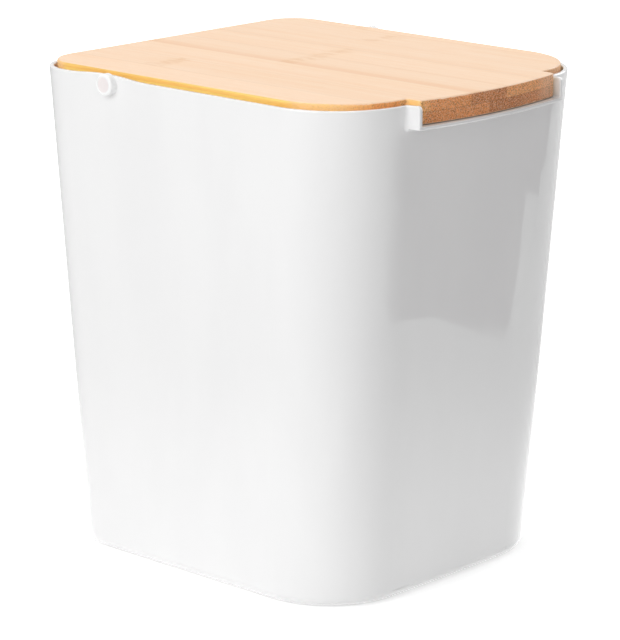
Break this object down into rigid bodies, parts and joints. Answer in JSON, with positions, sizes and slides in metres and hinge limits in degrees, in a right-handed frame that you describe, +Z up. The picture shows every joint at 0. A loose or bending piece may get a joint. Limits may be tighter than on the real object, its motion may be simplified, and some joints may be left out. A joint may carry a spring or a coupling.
{
  "type": "bathroom bin with tipping lid",
  "caption": "Tapered rounded bathroom bin with a laminated bamboo lid that tips up on side pivots; the front tab of the lid lies in a collared notch of the rim.",
  "frame": {"origin": "on the ground under the middle of the whole outline seen from above, lid tab and collar included", "axes": "+Z up; -Y towards the front, where the lid's tab and the notch are; -X is the left seen from the front; the lid's pivot axis is along X"},
  "size_m": [0.205, 0.2306, 0.2592],
  "materials": {
    "bin_shell": "glossy injection-moulded white plastic",
    "bamboo_upper_ply": "satin lacquered bamboo, grain front to back",
    "bamboo_lower_ply": "satin lacquered bamboo, grain front to back",
    "hinge_pin": "white moulded plastic",
    "hinge_sleeve": "natural nylon",
    "spacer": "white nylon",
    "foot_pad": "grey anti-slip rubber"
  },
  "bodies": {
    "bin": {"bin_body": "bin_shell", "hinge_pin_left": "hinge_pin", "hinge_pin_right": "hinge_pin", "spacer_left": "spacer", "spacer_right": "spacer", "foot_pad_front_left": "foot_pad", "foot_pad_front_right": "foot_pad", "foot_pad_rear_left": "foot_pad", "foot_pad_rear_right": "foot_pad"},
    "lid": {"upper_stave_1": "bamboo_upper_ply", "upper_stave_2": "bamboo_upper_ply", "upper_stave_3": "bamboo_upper_ply", "upper_stave_4": "bamboo_upper_ply", "upper_stave_5": "bamboo_upper_ply", "upper_stave_6": "bamboo_upper_ply", "upper_stave_7": "bamboo_upper_ply", "upper_stave_8": "bamboo_upper_ply", "lower_stave_1": "bamboo_lower_ply", "lower_stave_2": "bamboo_lower_ply", "lower_stave_3": "bamboo_lower_ply", "lower_stave_4": "bamboo_lower_ply", "lower_stave_5": "bamboo_lower_ply", "lower_stave_6": "bamboo_lower_ply", "lower_stave_7": "bamboo_lower_ply", "lower_stave_8": "bamboo_lower_ply", "hinge_sleeve_left": "hinge_sleeve", "hinge_sleeve_right": "hinge_sleeve"}
  },
  "joints": [
    {"name": "lid_pivot", "type": "hinge", "parent": "bin", "child": "lid", "pos_m": [0, 0.05742, 0.2529], "axis": [-1, 0, 0], "range_deg": [0, 100]}
  ]
}
